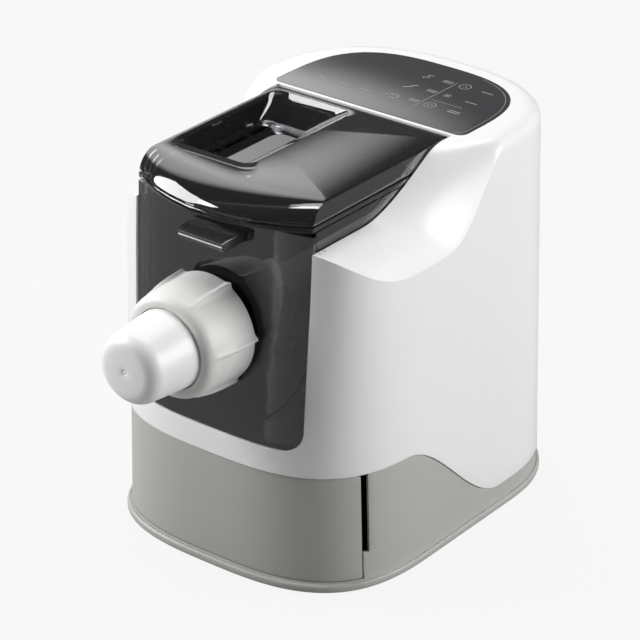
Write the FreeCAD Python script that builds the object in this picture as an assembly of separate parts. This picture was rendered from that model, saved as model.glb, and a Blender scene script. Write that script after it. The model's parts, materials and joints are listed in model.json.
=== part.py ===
import FreeCAD, Part
import math
import os

V = FreeCAD.Vector

# Electric pasta maker. Millimetres, +Z up, the front faces -Y, X = 0 is the plane of symmetry.
# Y = 0 is where the straight sides end and the rounded front begins.

# Body outline
body_half_width = 105.0
body_front = 97.6
body_straight = 80.0
body_tail = 89.0
nose_power = 3.0
tail_power = 2.5
body_top = 258.5
foot_height = 4.0

# Housing walls
shell_inset = 1.0
side_lean = 0.031
front_inset = 2.6
front_lean = 0.078
nose_squaring = 0.0061
shell_wall = 2.6
top_round = 9.0
front_seam = 83.0
rear_seam = 21.0
seam_start = -27.0
seam_end = 71.0

# Base
rim_height = 5.5
rim_blend = 6.5
skirt_inset = 3.4
skirt_wall = 2.4
skirt_overlap = 7.0
cover_thickness = 2.4
cover_gap = 0.25
foot_radius = 9.0
foot_stem = 4.0
foot_front = -60.0
foot_rear = 122.0
foot_spread = body_half_width - 35.0

# Drawer
drawer_half_width = body_half_width - 13.0
drawer_bottom = 10.6
drawer_front_wall = 3.0
drawer_gap = 0.4
tray_half_width = drawer_half_width - 14.0
tray_length = 118.0
tray_height = front_seam - 31.0
tray_wall = 2.0
tray_floor = 13.0
grip_slot_width = 3.4
grip_slot_bottom = 28.0
bay_wall = 2.2
bay_front = -66.0

# Window, lid and chamber
axis_height = 168.0
window_bottom = axis_height - 69.0
bowl_gap = 0.9
window_half_high = 67.8
window_half_low = window_half_high - 1.9
window_widest = body_top - 58.5
window_corner = 13.0
panel_recess = 1.2
panel_wall = 3.0
panel_gap = 0.5
panel_top = body_top - 18.9
lid_rear = 59.5
lid_gap = 0.4
lid_half_width = window_half_high - 2.0
lid_skirt_half = window_half_high - bowl_gap
lid_bottom = body_top - 16.5
lid_wall = 2.4
lid_plate = 2.6
lid_front_low = 96.5
lid_corner_low = 76.0
lid_front_top = 70.0
lid_corner_top = 60.5
hinge_barrel = 3.2
hinge_pin = 1.6
hinge_pin_gap = 0.06
trough_left = 3.8 - lid_half_width
trough_right = -1.5
trough_front = -50.0
trough_rear = 52.0
trough_depth = 15.0
trough_slope = 9.0
trough_wall = 2.0
trough_slot_width = 5.0
trough_slot_length = 22.0
trough_slot_step = 26.0

# Mixing bowl and extruder, all round the drive axis
bowl_half_width = window_half_high - bowl_gap
bowl_wall = 2.4
bowl_front = -72.5
bowl_rear = 56.9
seal_thickness = 1.0
seal_top = body_top - 32.5
liner_wall = 2.4
liner_floor = axis_height - 71.6
tube_radius = 24.0
tube_wall = 3.4
tube_front = -121.0
tube_rear = -42.0
tube_gap = 0.08
collar_wall = 5.6
collar_front = -110.0
thread_gap = 0.5
die_radius = tube_radius + 3.0
die_thickness = 6.0
die_hole = 1.6
nut_rear = -90.9
nut_front = -130.7
nut_radius = tube_radius + 12.2
nut_nose_radius = nut_radius - 5.2
nut_rib = 1.9
nut_ribs = 6
cap_radius = die_radius - 1.2
cap_tip = -168.8
cap_tip_radius = cap_radius - 5.8
cap_wall = 2.2
cap_gap = 0.3
auger_core = 8.0
auger_pitch = 24.0
auger_flight = 4.0
auger_gap = 0.6
paddle_reach = bowl_half_width - bowl_wall - 3.0
paddle_hub = 12.0
paddle_arm = 9.0
paddle_rear = bowl_rear - 9.9

# Drive
shaft_radius = 7.0
shaft_hex = 5.6
run_gap = 0.05
bearing_outer = 13.0
bearing_width = 7.0
gear_gap = 0.12
motor_teeth = 12
first_teeth = 48
first_pinion_teeth = 14
second_teeth = 46
second_pinion_teeth = 14
output_teeth = 46
first_module = 1.25
second_module = 1.5
output_module = 1.75
axle_radius = 3.0
gearbox_plate = 3.0
gearbox_wall = 2.5
output_gear_width = 12.0
second_gear_width = 10.0
first_gear_width = 8.0
gear_space = 2.0
motor_radius = 34.0
motor_length = 40.0
motor_wall = 2.0
rotor_radius = 26.0
fan_radius = 26.0
second_axle_x = 30.0
first_axle_x = -10.0

# Shoulders beside the lid
shoulder_start = window_half_high - 7.8
shoulder_end = body_half_width - 4.0
shoulder_high = body_top - 28.5
shoulder_low = shoulder_high - 50.0
shoulder_power = 2.2
ramp_width = shoulder_end - window_half_high - 3.0
ramp_start = -30.0
ramp_end = 48.0
ramp_start_sweep = 45.0
ramp_end_sweep = 37.0

# Small fittings
seam_step = 1.2
seal_outer = 11.0
gland_radius = 7.0
gland_bore = 3.8
gland_length = 9.0
gland_rear = 168.5
gland_height = 36.0
grip_height = body_top - 26.5
grip_half_width = 21.0

# Controls
glass_half_width = window_half_high + 6.2
glass_front = lid_rear + 3.0
glass_middle = 80.0
glass_rear = 149.4
glass_power = 2.9
glass_thickness = 1.2
glass_recess = 1.0
glass_corner = 6.0
board_thickness = 1.6
board_drop = 8.0
board_half_width = glass_half_width - 14.0
board_front = glass_front + 7.5
board_length = 54.0


def z_axis_disc(radius, low, high, x=0.0, y=0.0):
    return Part.makeCylinder(radius, high - low, V(x, y, low))


def y_axis_disc(radius, rear, front, x=0.0, z=axis_height):
    """A cylinder along Y from rear (larger y) to front."""
    return Part.makeCylinder(radius, rear - front, V(x, front, z), V(0, 1, 0))


def block(x0, x1, y0, y1, z0, z1):
    return Part.makeBox(x1 - x0, y1 - y0, z1 - z0, V(x0, y0, z0))


def fuse_all(shapes):
    first = shapes[0]
    if len(shapes) == 1:
        return first
    return first.multiFuse(shapes[1:]).removeSplitter()


def end_curve(half_width, reach, power, start_y, side, z, steps=12):
    """The rounded end of an outline, a superellipse: side is -1 for the front, 1 for the rear."""
    points = []
    for i in range(steps + 1):
        turn = math.pi * i / steps
        scale = (abs(math.cos(turn)) ** power + abs(math.sin(turn)) ** power) ** (-1.0 / power)
        across = scale * math.cos(turn)
        along = scale * math.sin(turn) if 0 < i < steps else 0.0
        points.append(V(-side * half_width * across, start_y + side * reach * along, z))
    curve = Part.BSplineCurve()
    curve.interpolate(Points=points, InitialTangent=V(0, side, 0), FinalTangent=V(0, -side, 0))
    return curve.toShape()


def outline(half_width, front, tail, power, z):
    """A closed plan outline: rounded front, straight sides, rounded rear."""
    nose = end_curve(half_width, front, power, 0.0, -1, z)
    rear = end_curve(half_width, tail, tail_power, body_straight, 1, z)
    left = Part.makeLine(V(-half_width, 0, z), V(-half_width, body_straight, z))
    right = Part.makeLine(V(half_width, body_straight, z), V(half_width, 0, z))
    return Part.Wire([nose, left, rear, right])


def shell_outline(z, inset=0.0, level=None):
    """The housing's outline at height z, moved in by inset and drawn at another level if given."""
    above = z - front_seam
    half_width = body_half_width - shell_inset - side_lean * z - inset
    front = body_front - front_inset - front_lean * max(above, 0.0) - inset
    power = nose_power + nose_squaring * max(above, 0.0)
    tail = body_tail - 2.0 * shell_inset - inset
    return outline(half_width, front, tail, power, z if level is None else level)


def loft(wires, ruled=False):
    return Part.makeLoft(wires, True, ruled)


def body_block(inset, bottom, top, rounding):
    """The housing's outer form as a solid block, moved in by inset."""
    straight = [shell_outline(z, inset) for z in spread(bottom, top - rounding, 4)]
    block_low = loft(straight)
    crown = []
    for i in range(6):
        turn = math.radians(18.0 * i)
        inward = inset + rounding * (1.0 - math.cos(turn))
        level = top - rounding + rounding * math.sin(turn)
        crown.append(shell_outline(top - rounding, inward, level))
    return block_low.fuse(loft(crown)).removeSplitter()


def spread(low, high, count):
    return [low + (high - low) * i / (count - 1.0) for i in range(count)]


def bezier(points):
    curve = Part.BezierCurve()
    curve.setPoles(points)
    return curve.toShape()


def seam_solid(lift, sink=60.0):
    """Everything below the seam between housing and base, raised by lift."""
    third = (seam_end - seam_start) / 3.0
    high = front_seam + lift
    low = rear_seam + lift
    a = V(-300, -300, high)
    b = V(-300, seam_start, high)
    c = V(-300, seam_end, low)
    d = V(-300, 300, low)
    s_curve = bezier([b, V(-300, seam_start + third, high), V(-300, seam_end - third, low), c])
    floor_z = rear_seam - sink
    edges = [Part.makeLine(a, b), s_curve, Part.makeLine(c, d)]
    edges.append(Part.makeLine(d, V(-300, 300, floor_z)))
    edges.append(Part.makeLine(V(-300, 300, floor_z), V(-300, -300, floor_z)))
    edges.append(Part.makeLine(V(-300, -300, floor_z), a))
    return Part.Face(Part.Wire(edges)).extrude(V(600, 0, 0))


def skirt_outline(z, extra=0.0):
    """The grey base's outline at height z, a step inside the housing's."""
    half_width = body_half_width - shell_inset - side_lean * z - seam_step - extra
    front = body_front - skirt_inset - extra
    tail = body_tail - 2.0 * shell_inset - seam_step - extra
    return outline(half_width, front, tail, nose_power, z)


def rim_outline(z, inset):
    return outline(body_half_width - inset, body_front - inset, body_tail - inset, nose_power, z)


def skirt_block(extra, bottom, top):
    return loft([skirt_outline(bottom, extra), skirt_outline(top, extra)], True)


def shoulder_level(x):
    """Height of the scooped shoulder at x, level near the lid and steep at the side."""
    share = min((x - shoulder_start) / (shoulder_end - shoulder_start), 1.0)
    fall = (1.0 - share ** shoulder_power) ** (1.0 / shoulder_power)
    return shoulder_low + (shoulder_high - shoulder_low) * fall


def scoop_section(x, side):
    """The side view of the scoop at x: level shoulder, then a ramp up to the rear hump."""
    out = min(max((x - window_half_high) / ramp_width, 0.0), 1.0)
    level = shoulder_level(x)
    top = body_top + 3.0
    start = ramp_start + ramp_start_sweep * out
    end = ramp_end + ramp_end_sweep * out
    a = V(side * x, -130.0, level)
    b = V(side * x, start, level)
    c = V(side * x, end, top)
    lead = V(side * x, start + 25.0 + 5.0 * out, level)
    trail = V(side * x, end - 28.0 - 2.0 * out, level + 17.5 + 16.5 * out)
    d = V(side * x, end, top + 60.0)
    e = V(side * x, -130.0, top + 60.0)
    edges = [Part.makeLine(a, b), bezier([b, lead, trail, c]), Part.makeLine(c, d)]
    return Part.Wire(edges + [Part.makeLine(d, e), Part.makeLine(e, a)])


def scoop(side):
    span = shoulder_end - shoulder_start
    shares = (0.0, 0.244, 0.488, 0.683, 0.829, 0.927, 1.0)
    return loft([scoop_section(shoulder_start + span * share, side) for share in shares])


def cut_scoops(solid, wall):
    """Takes both scoops from a block; wall moves them in for the inside of the housing."""
    for side in (-1, 1):
        tool = scoop(side)
        tool.translate(V(-0.6 * wall * side, 0.5 * wall, -wall))
        solid = solid.cut(tool)
    return solid


def front_prism(half_low, half_high, bottom, top, rear, corner):
    """A straight prism along Y with the window's front view, corners rounded at the bottom."""
    points = [V(-half_low, 0, bottom), V(half_low, 0, bottom), V(half_high, 0, window_widest)]
    points += [V(half_high, 0, top), V(-half_high, 0, top), V(-half_high, 0, window_widest)]
    points = [V(p.x, -130.0, p.z) for p in points]
    prism = Part.Face(Part.makePolygon(points + [points[0]])).extrude(V(0, rear + 130.0, 0))
    low = [e for e in prism.Edges if is_window_corner(e, half_low, bottom)]
    return prism.makeFillet(corner, low)


def is_window_corner(edge, half_width, bottom):
    middle = edge.BoundBox.Center
    along_y = edge.BoundBox.YLength > 1.0
    return along_y and abs(abs(middle.x) - half_width) < 0.01 and abs(middle.z - bottom) < 0.01


def glass_face(inset, z):
    """The D-shaped control glass: straight front edge, rounded back."""
    half_width = glass_half_width - inset
    back = end_curve(half_width, glass_rear - glass_middle - inset, glass_power, glass_middle, 1, z)
    y = glass_front + inset
    r = glass_corner
    k = r * (1.0 - math.sqrt(0.5))
    left = Part.makeLine(V(half_width, glass_middle, z), V(half_width, y + r, z))
    turn_a = Part.Arc(V(half_width, y + r, z), V(half_width - k, y + k, z), V(half_width - r, y, z)).toShape()
    front = Part.makeLine(V(half_width - r, y, z), V(-half_width + r, y, z))
    turn_b = Part.Arc(V(-half_width + r, y, z), V(-half_width + k, y + k, z), V(-half_width, y + r, z)).toShape()
    right = Part.makeLine(V(-half_width, y + r, z), V(-half_width, glass_middle, z))
    return Part.Face(Part.Wire([back, left, turn_a, front, turn_b, right]))


def hinge_axis():
    return lid_rear - hinge_barrel, body_top - hinge_barrel


def board_posts():
    x = board_half_width - 6.0
    return [(side * x, y) for side in (-1, 1) for y in (board_front + 6.0, board_front + board_length - 6.0)]


def main_housing(cavity):
    shell = cut_scoops(body_block(0.0, rear_seam - 8.0, body_top, top_round), 0.0).cut(cavity)
    shell = shell.cut(seam_solid(0.0))
    opening = front_prism(window_half_low, window_half_high, window_bottom, body_top + 60.0,
                          lid_rear + lid_gap, window_corner)
    pivot_y, pivot_z = hinge_axis()
    extras = []
    for side in (-1, 1):
        inner = window_half_high
        low = min(side * inner, side * (inner + 7.0))
        extras.append(block(low, low + 7.0, pivot_y - 5.0, pivot_y + 5.0, pivot_z - 4.5, body_top - 1.0))
    for x, y in board_posts():
        extras.append(z_axis_disc(3.0, body_top - shell_wall - board_drop, body_top - shell_wall + 0.5, x, y))
    shell = fuse_all([shell] + extras).cut(opening)
    for side in (-1, 1):
        low = min(side * window_half_high, side * (window_half_high + 5.0))
        bore = Part.makeCylinder(hinge_pin + hinge_pin_gap, 5.0, V(low, pivot_y, pivot_z), V(1, 0, 0))
        shell = shell.cut(bore)
    recess = glass_face(-0.2, body_top - glass_recess).extrude(V(0, 0, 10.0))
    shell = shell.cut(recess)
    return shell.cut(gland_disc(gland_radius + 0.1, 40.0))


def gland_disc(radius, length):
    return Part.makeCylinder(radius, length, V(0, gland_rear - length, gland_height), V(0, 1, 0))


def cord_gland():
    body = gland_disc(gland_radius, gland_length)
    flange = gland_disc(gland_radius + 2.5, 1.5)
    return body.fuse(flange).cut(gland_disc(gland_bore, gland_length + 5.0)).removeSplitter()


def chamber_liner(cavity):
    half = window_half_high + liner_wall
    outer = block(-half, half, -120.0, lid_rear + lid_gap + liner_wall, liner_floor - liner_wall, body_top)
    hollow = block(-window_half_high, window_half_high, -130.0, bowl_rear + 0.6, liner_floor, body_top + 5.0)
    pivot_y, pivot_z = hinge_axis()
    over = block(-half - 1.0, half + 1.0, pivot_y - 6.0, 100.0, pivot_z - hinge_barrel - 1.6, 400.0)
    liner = outer.cut(hollow).cut(over).common(cavity)
    return liner.cut(y_axis_disc(bearing_outer + 3.3, 80.0, 50.0))


def control_glass():
    return glass_face(0.0, body_top - glass_recess).extrude(V(0, 0, glass_thickness))


def control_board():
    top = body_top - shell_wall - board_drop
    half = board_half_width
    y = board_front
    under = top - board_thickness
    board = block(-half, half, y, y + board_length, under, top)
    chips = [block(10.0 - half, 24.0 - half, y + 14.0, y + 28.0, top - 4.0, under)]
    chips.append(block(-10.0, 10.0, y + 20.0, y + 38.0, top - 4.5, under))
    chips.append(block(half - 30.0, half - 8.0, y + 14.0, y + 22.0, top - 9.0, under))
    for i in range(6):
        x = (0.3 * i - 0.75) * half
        row = y + (26.0 if i % 2 else 34.0)
        chips.append(z_axis_disc(4.5, top, top + board_drop - 0.3, x, row))
    return fuse_all([board] + chips)


def control_board_screws():
    top = body_top - shell_wall - board_drop - board_thickness
    return Part.makeCompound([z_axis_disc(2.8, top - 2.0, top, x, y) for x, y in board_posts()])


def lid_outline(z, share, inset):
    """The lid in plan; share is 1 at the low front lip and 0 at the flat top."""
    half = lid_half_width + (lid_skirt_half - lid_half_width) * share - inset
    corner = lid_corner_top + (lid_corner_low - lid_corner_top) * share - inset
    front = lid_front_top + (lid_front_low - lid_front_top) * share - inset
    rear = hinge_axis()[0] - inset
    a = V(half, rear, z)
    b = V(half, -corner, z)
    c = V(-half, -corner, z)
    d = V(-half, rear, z)
    nose = Part.Arc(b, V(0, -front, z), c).toShape()
    return Part.Wire([Part.makeLine(a, b), nose, Part.makeLine(c, d), Part.makeLine(d, a)])


def lid_block(inset, bottom, top):
    wires = []
    for turn in (0, 15, 30, 45, 60, 75, 90):
        rise = math.sin(math.radians(turn))
        share = math.cos(math.radians(turn))
        wires.append(lid_outline(bottom + (top - bottom) * rise, share, inset))
    return loft(wires)


def trough_loft(grow, top, bottom):
    slope = trough_slope
    high = (trough_left - grow, trough_right + grow, trough_front - grow, trough_rear + grow, top)
    low = (trough_left + slope * 0.3 - grow, trough_right - slope * 2.6 + grow,
           trough_front + slope - grow, trough_rear - slope * 1.6 + grow, bottom)
    return loft([rectangle(*low), rectangle(*high)], True)


def rectangle(x0, x1, y0, y1, z):
    corners = [V(x0, y0, z), V(x1, y0, z), V(x1, y1, z), V(x0, y1, z), V(x0, y0, z)]
    return Part.makePolygon(corners)


def lid():
    pivot_y, pivot_z = hinge_axis()
    hollow = lid_block(lid_wall, lid_bottom - 1.0, body_top - lid_plate)
    under = block(-200, 200, -200, 200, lid_bottom - 20.0, lid_bottom)
    shell = lid_block(0.0, lid_bottom, body_top).cut(hollow).cut(under)
    floor_top = body_top - trough_depth
    basin = trough_loft(trough_wall, body_top - 0.5, floor_top - trough_wall)
    barrel = Part.makeCylinder(hinge_barrel, 2.0 * lid_half_width, V(-lid_half_width, pivot_y, pivot_z), V(1, 0, 0))
    shell = fuse_all([shell, basin, barrel])
    shell = shell.cut(trough_loft(0.0, body_top, floor_top))
    for i in (-1, 0, 1):
        middle = (trough_front + trough_rear) / 2.0 - 3.0 + trough_slot_step * i
        x = trough_left + 7.0
        half = trough_slot_length / 2.0
        slot = block(x, x + trough_slot_width, middle - half, middle + half, floor_top - 5.0, floor_top + 1.0)
        shell = shell.cut(slot)
    for side in (-1, 1):
        shell = shell.cut(hinge_pin_solid(side))
    return shell


def hinge_pin_solid(side):
    pivot_y, pivot_z = hinge_axis()
    inner = lid_half_width - 8.0
    outer = window_half_high + 4.5
    low = min(side * inner, side * outer)
    return Part.makeCylinder(hinge_pin, outer - inner, V(low, pivot_y, pivot_z), V(1, 0, 0))


def mixing_bowl():
    outer = bowl_form(bowl_half_width, bowl_front, bowl_rear)
    inner = bowl_form(bowl_half_width - bowl_wall, bowl_front - 1.0, bowl_rear - bowl_wall)
    rails = [block(x - 2.5, x + 2.5, bowl_front + 2.0, bowl_rear - 2.0, liner_floor, axis_height - bowl_half_width * 0.6)
             for x in (-22.0, 22.0)]
    bowl = fuse_all([outer] + rails).cut(inner)
    return bowl.cut(y_axis_disc(seal_outer, 80.0, 40.0))


def bowl_form(radius, front, rear):
    """A U-shaped trough: a half cylinder round the drive axis under straight walls."""
    round_part = y_axis_disc(radius, rear, front)
    straight = block(-radius, radius, front, rear, axis_height, lid_bottom - lid_gap)
    return round_part.fuse(straight).removeSplitter()


def bowl_seal():
    ring = y_axis_disc(seal_outer, bowl_rear, bowl_rear - bowl_wall)
    lip = y_axis_disc(seal_outer + 2.0, bowl_rear - bowl_wall, bowl_rear - bowl_wall - 2.0)
    return ring.fuse(lip).cut(y_axis_disc(shaft_radius + run_gap, 80.0, 40.0)).removeSplitter()


def panel_prism(gap, top):
    return front_prism(window_half_low - gap, window_half_high - gap, window_bottom + gap, top, -40.0,
                       window_corner - gap)


def panel_skin(inset_out, inset_in):
    levels = spread(front_seam + 5.0, panel_top + 5.0, 4)
    outer = loft([shell_outline(z, inset_out) for z in levels])
    inner = loft([shell_outline(z, inset_in) for z in levels])
    return outer.cut(inner)


def front_panel():
    half = bowl_half_width
    rib_rear = bowl_front - seal_thickness
    plate = panel_skin(panel_recess, panel_recess + panel_wall).common(panel_prism(panel_gap, panel_top))
    plate = plate.cut(block(-half - 9.0, half + 9.0, rib_rear, 0.0, 0.0, 400.0))
    rib = bowl_form(half - panel_gap, -100.0, rib_rear).cut(bowl_form(half - bowl_wall, -120.0, rib_rear + 10.0))
    skin_levels = spread(front_seam + 5.0, body_top - 5.0, 4)
    inside = loft([shell_outline(z, panel_recess + 1.0) for z in skin_levels])
    rib = rib.common(inside).common(panel_prism(panel_gap + 0.4, panel_top - 1.0))
    collar = y_axis_disc(tube_radius + tube_gap + collar_wall, -86.0, collar_front)
    panel = fuse_all([plate, rib, collar])
    return panel.cut(y_axis_disc(tube_radius + tube_gap, -40.0, -140.0))


def panel_seal():
    outer = bowl_form(bowl_half_width - panel_gap, bowl_front - seal_thickness, bowl_front)
    inner = bowl_form(bowl_half_width - bowl_wall, bowl_front - 5.0, bowl_front + 5.0)
    return outer.cut(inner).common(block(-100.0, 100.0, -90.0, -60.0, 60.0, seal_top))


def panel_grip():
    """The finger grip under the lid's lip, ribbed on its front."""
    top = grip_height
    profile = [(-82.0, top), (-97.0, top - 2.0), (-99.0, top - 5.0), (-97.0, top - 9.0), (-84.0, top - 6.5)]
    points = [V(-grip_half_width, y, z) for y, z in profile]
    grip = Part.Face(Part.makePolygon(points + [points[0]])).extrude(V(2.0 * grip_half_width, 0, 0))
    return grip.cut(panel_block())


def panel_block():
    levels = spread(front_seam + 5.0, panel_top + 5.0, 4)
    return loft([shell_outline(z, panel_recess) for z in levels])


def extruder_tube():
    outer = y_axis_disc(tube_radius, tube_rear, tube_front)
    flange = y_axis_disc(tube_radius + 5.0, -77.8, -80.6)
    tube = outer.fuse(flange).cut(y_axis_disc(tube_radius - tube_wall, 0.0, -140.0))
    feed = block(-tube_radius * 0.8, tube_radius * 0.8, tube_rear - 26.0, 0.0, axis_height, axis_height + 60.0)
    return tube.cut(feed).removeSplitter()


def shaping_die():
    disc = y_axis_disc(die_radius, tube_front, tube_front - die_thickness)
    holes = []
    for ring, count in ((9.0, 5), (17.0, 9)):
        for i in range(count):
            turn = 2.0 * math.pi * i / count
            x = ring * math.sin(turn)
            z = axis_height + ring * math.cos(turn)
            holes.append(y_axis_disc(die_hole, 0.0, -140.0, x, z))
    return disc.cut(Part.makeCompound(holes))


def revolve(profile):
    """Turns a profile of (radius, y) points round the drive axis."""
    points = [V(r, y, axis_height) for r, y in profile]
    face = Part.Face(Part.makePolygon(points + [points[0]]))
    return face.revolve(V(0, 0, axis_height), V(0, 1, 0), 360)


def clamp_nut():
    bore = tube_radius + tube_gap + collar_wall + thread_gap
    front = tube_front - die_thickness
    seat = die_radius + 0.3
    mouth = cap_radius + cap_gap
    profile = [(bore, nut_rear), (nut_radius, nut_rear), (nut_radius - 0.8, -112.0), (nut_radius - 2.0, -121.0)]
    profile += [(nut_nose_radius + 1.3, -127.3), (nut_nose_radius - 0.6, -129.9), (nut_nose_radius - 2.4, nut_front)]
    profile += [(mouth, nut_front), (mouth, front - 0.3), (seat, front - 0.3), (seat, collar_front - 1.0)]
    profile += [(bore, collar_front - 1.0)]
    nut = revolve(profile)
    ribs = []
    for i in range(nut_ribs):
        turn = math.radians(3.0 + 360.0 * i / nut_ribs)
        base = V(0, nut_rear, axis_height) + V(math.cos(turn), 0, math.sin(turn)) * (nut_radius - 1.6)
        rib = Part.makeCone(1.6 + nut_rib, 2.6, 34.0, base, V(-0.05 * math.cos(turn), -1, -0.05 * math.sin(turn)))
        ribs.append(rib)
    hollow = y_axis_disc(bore, 0.0, collar_front - 1.0)
    hollow = hollow.fuse(y_axis_disc(seat, 0.0, front - 0.3)).fuse(y_axis_disc(mouth, 0.0, -200.0))
    return fuse_all([nut] + ribs).cut(hollow)


def end_cap():
    rear = tube_front - die_thickness - 0.3
    tip = cap_tip
    r = cap_tip_radius
    profile = [(cap_radius - 0.4, rear), (cap_radius, rear - 1.0), (cap_radius - 0.2, nut_front)]
    profile += [(r + 3.2, tip + 12.0), (r + 2.0, tip + 7.0), (r - 1.0, tip + 3.0), (r - 5.0, tip + 0.8)]
    profile += [(r - 9.0, tip), (4.0, tip), (3.0, tip + 0.6), (0.0, tip + 0.6)]
    profile += [(0.0, tip + cap_wall + 1.0), (r - 5.0, tip + cap_wall + 1.5), (r + 0.4, tip + 10.0)]
    profile += [(cap_radius - cap_wall, rear)]
    return revolve(profile)


def auger_screw():
    core = y_axis_disc(auger_core, tube_rear, tube_front + 2.0)
    outer = tube_radius - tube_wall - auger_gap
    length = -(tube_front + 2.0) + tube_rear
    helix = Part.makeHelix(auger_pitch, length - auger_flight - 1.0, outer - 3.0)
    half = auger_flight / 2.0
    inner = auger_core - 1.0
    corners = [V(inner, 0, -half), V(outer, 0, -half * 0.6), V(outer, 0, half * 0.6), V(inner, 0, half), V(inner, 0, -half)]
    flight = Part.Wire(helix).makePipeShell([Part.makePolygon(corners)], True, True)
    flight.rotate(V(0, 0, 0), V(1, 0, 0), 90)
    flight.translate(V(0, tube_rear - half - 0.5, axis_height))
    return core.fuse(flight).removeSplitter()


def mixing_paddle():
    hub = y_axis_disc(paddle_hub, paddle_rear, tube_rear)
    arms = []
    for i in range(4):
        y = paddle_rear - 8.0 - 22.0 * i
        arm = block(-paddle_arm / 2.0, paddle_arm / 2.0, y - 3.5, y + 3.5, 0.0, paddle_reach - 1.0)
        blade = block(-paddle_arm * 1.2, paddle_arm * 1.2, y - 8.0, y + 5.0, paddle_reach - 9.0, paddle_reach + 5.0)
        blade = blade.common(y_axis_disc(paddle_reach, y + 20.0, y - 20.0, 0.0, 0.0))
        arm = arm.fuse(blade)
        arm.translate(V(0, 0, axis_height))
        arm.rotate(V(0, 0, axis_height), V(0, 1, 0), 90.0 * i + 20.0)
        arms.append(arm)
    paddle = fuse_all([hub] + arms)
    socket = hex_bar(shaft_hex + run_gap, paddle_rear + 5.0, paddle_rear - 30.0)
    return paddle.cut(socket)


def hex_bar(flat_radius, rear, front):
    corner = flat_radius / math.cos(math.radians(30.0))
    points = []
    for i in range(7):
        turn = math.radians(60.0 * i)
        points.append(V(corner * math.sin(turn), front, axis_height + corner * math.cos(turn)))
    return Part.Face(Part.makePolygon(points)).extrude(V(0, rear - front, 0))


def axle_places():
    """The three axes below the drive axis, found from the gears' centre distances."""
    third = output_module * (output_teeth + second_pinion_teeth) / 2.0
    second = second_module * (second_teeth + first_pinion_teeth) / 2.0
    first = first_module * (first_teeth + motor_teeth) / 2.0
    z2 = axis_height - math.sqrt(third ** 2 - second_axle_x ** 2)
    z1 = z2 - math.sqrt(second ** 2 - (second_axle_x - first_axle_x) ** 2)
    z0 = z1 - math.sqrt(first ** 2 - first_axle_x ** 2)
    return (second_axle_x, z2), (first_axle_x, z1), (0.0, z0)


def gearbox_front():
    return lid_rear + lid_gap + liner_wall


def gear_layers():
    """Rear and front y of the three gear layers, front layer first."""
    front = gearbox_front() + gearbox_plate + gear_space
    layers = []
    for width in (output_gear_width, second_gear_width, first_gear_width):
        layers.append((front + width, front))
        front += width + gear_space
    return layers


def gear(teeth, module, layer, place, bore, turn):
    """A spur gear with straight flanks; turn, in degrees, sets a tooth's middle from +Z."""
    pitch = module * teeth / 2.0
    pitch_half = math.pi / (2.0 * teeth) - gear_gap / pitch
    tip_half = pitch_half * 0.52
    root_half = math.pi / teeth * 0.72
    points = []
    for i in range(teeth):
        middle = math.radians(turn) + 2.0 * math.pi * i / teeth
        for angle, radius in ((-root_half, pitch - 1.15 * module), (-pitch_half, pitch), (-tip_half, pitch + 0.85 * module),
                              (tip_half, pitch + 0.85 * module), (pitch_half, pitch), (root_half, pitch - 1.15 * module)):
            a = middle + angle
            points.append(V(radius * math.sin(a), layer[1], radius * math.cos(a)))
    wheel = Part.Face(Part.makePolygon(points + [points[0]])).extrude(V(0, layer[0] - layer[1], 0))
    wheel = wheel.cut(y_axis_disc(bore, layer[0] + 1.0, layer[1] - 1.0, 0.0, 0.0))
    wheel.translate(V(place[0], 0, place[1]))
    return wheel


def direction(start, end):
    """Angle in degrees from +Z towards +X of the line from start to end."""
    return math.degrees(math.atan2(end[0] - start[0], end[1] - start[1]))


def mesh_turn(place, other, teeth, other_teeth, other_turn):
    """The turn that puts a tooth gap of this gear on the other gear's tooth."""
    to_other = direction(place, other)
    from_other = direction(other, place)
    pitch_other = 360.0 / other_teeth
    ahead = (from_other - other_turn) / pitch_other
    ahead -= math.floor(ahead)
    pitch = 360.0 / teeth
    return to_other + pitch / 2.0 + ahead * pitch


def gear_train():
    second, first, motor = axle_places()
    layers = gear_layers()
    drive = (0.0, axis_height)
    pinion_bore = axle_radius + run_gap
    output = gear(output_teeth, output_module, layers[0], drive, shaft_radius, 0.0)
    turn = mesh_turn(second, drive, second_pinion_teeth, output_teeth, 0.0)
    cluster_two = gear(second_pinion_teeth, output_module, layers[0], second, pinion_bore, turn)
    wheel_two = gear(second_teeth, second_module, (layers[1][0], layers[0][0]), second, pinion_bore, 0.0)
    turn = mesh_turn(first, second, first_pinion_teeth, second_teeth, 0.0)
    cluster_one = gear(first_pinion_teeth, second_module, layers[1], first, pinion_bore, turn)
    wheel_one = gear(first_teeth, first_module, (layers[2][0], layers[1][0]), first, pinion_bore, 0.0)
    turn = mesh_turn(motor, first, motor_teeth, first_teeth, 0.0)
    pinion = gear(motor_teeth, first_module, layers[2], motor, axle_radius, turn)
    return output, cluster_two.fuse(wheel_two), cluster_one.fuse(wheel_one), pinion


def gearbox_circles(extra):
    second, first, motor = axle_places()
    drive = (0.0, axis_height)
    out_r = output_module * output_teeth / 2.0 + 4.0 + extra
    second_r = second_module * second_teeth / 2.0 + 4.0 + extra
    first_r = first_module * first_teeth / 2.0 + 4.0 + extra
    return [(drive, out_r), (second, second_r), (first, first_r), (motor, 14.0 + extra)]


def gearbox_form(extra, rear, front):
    """Discs round the axes joined by their tangent webs."""
    circles = gearbox_circles(extra)
    shapes = [y_axis_disc(r, rear, front, place[0], place[1]) for place, r in circles]
    for (a, ra), (b, rb) in zip(circles[:-1], circles[1:]):
        shapes.append(tangent_web(a, ra, b, rb, rear, front))
    return fuse_all(shapes)


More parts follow.
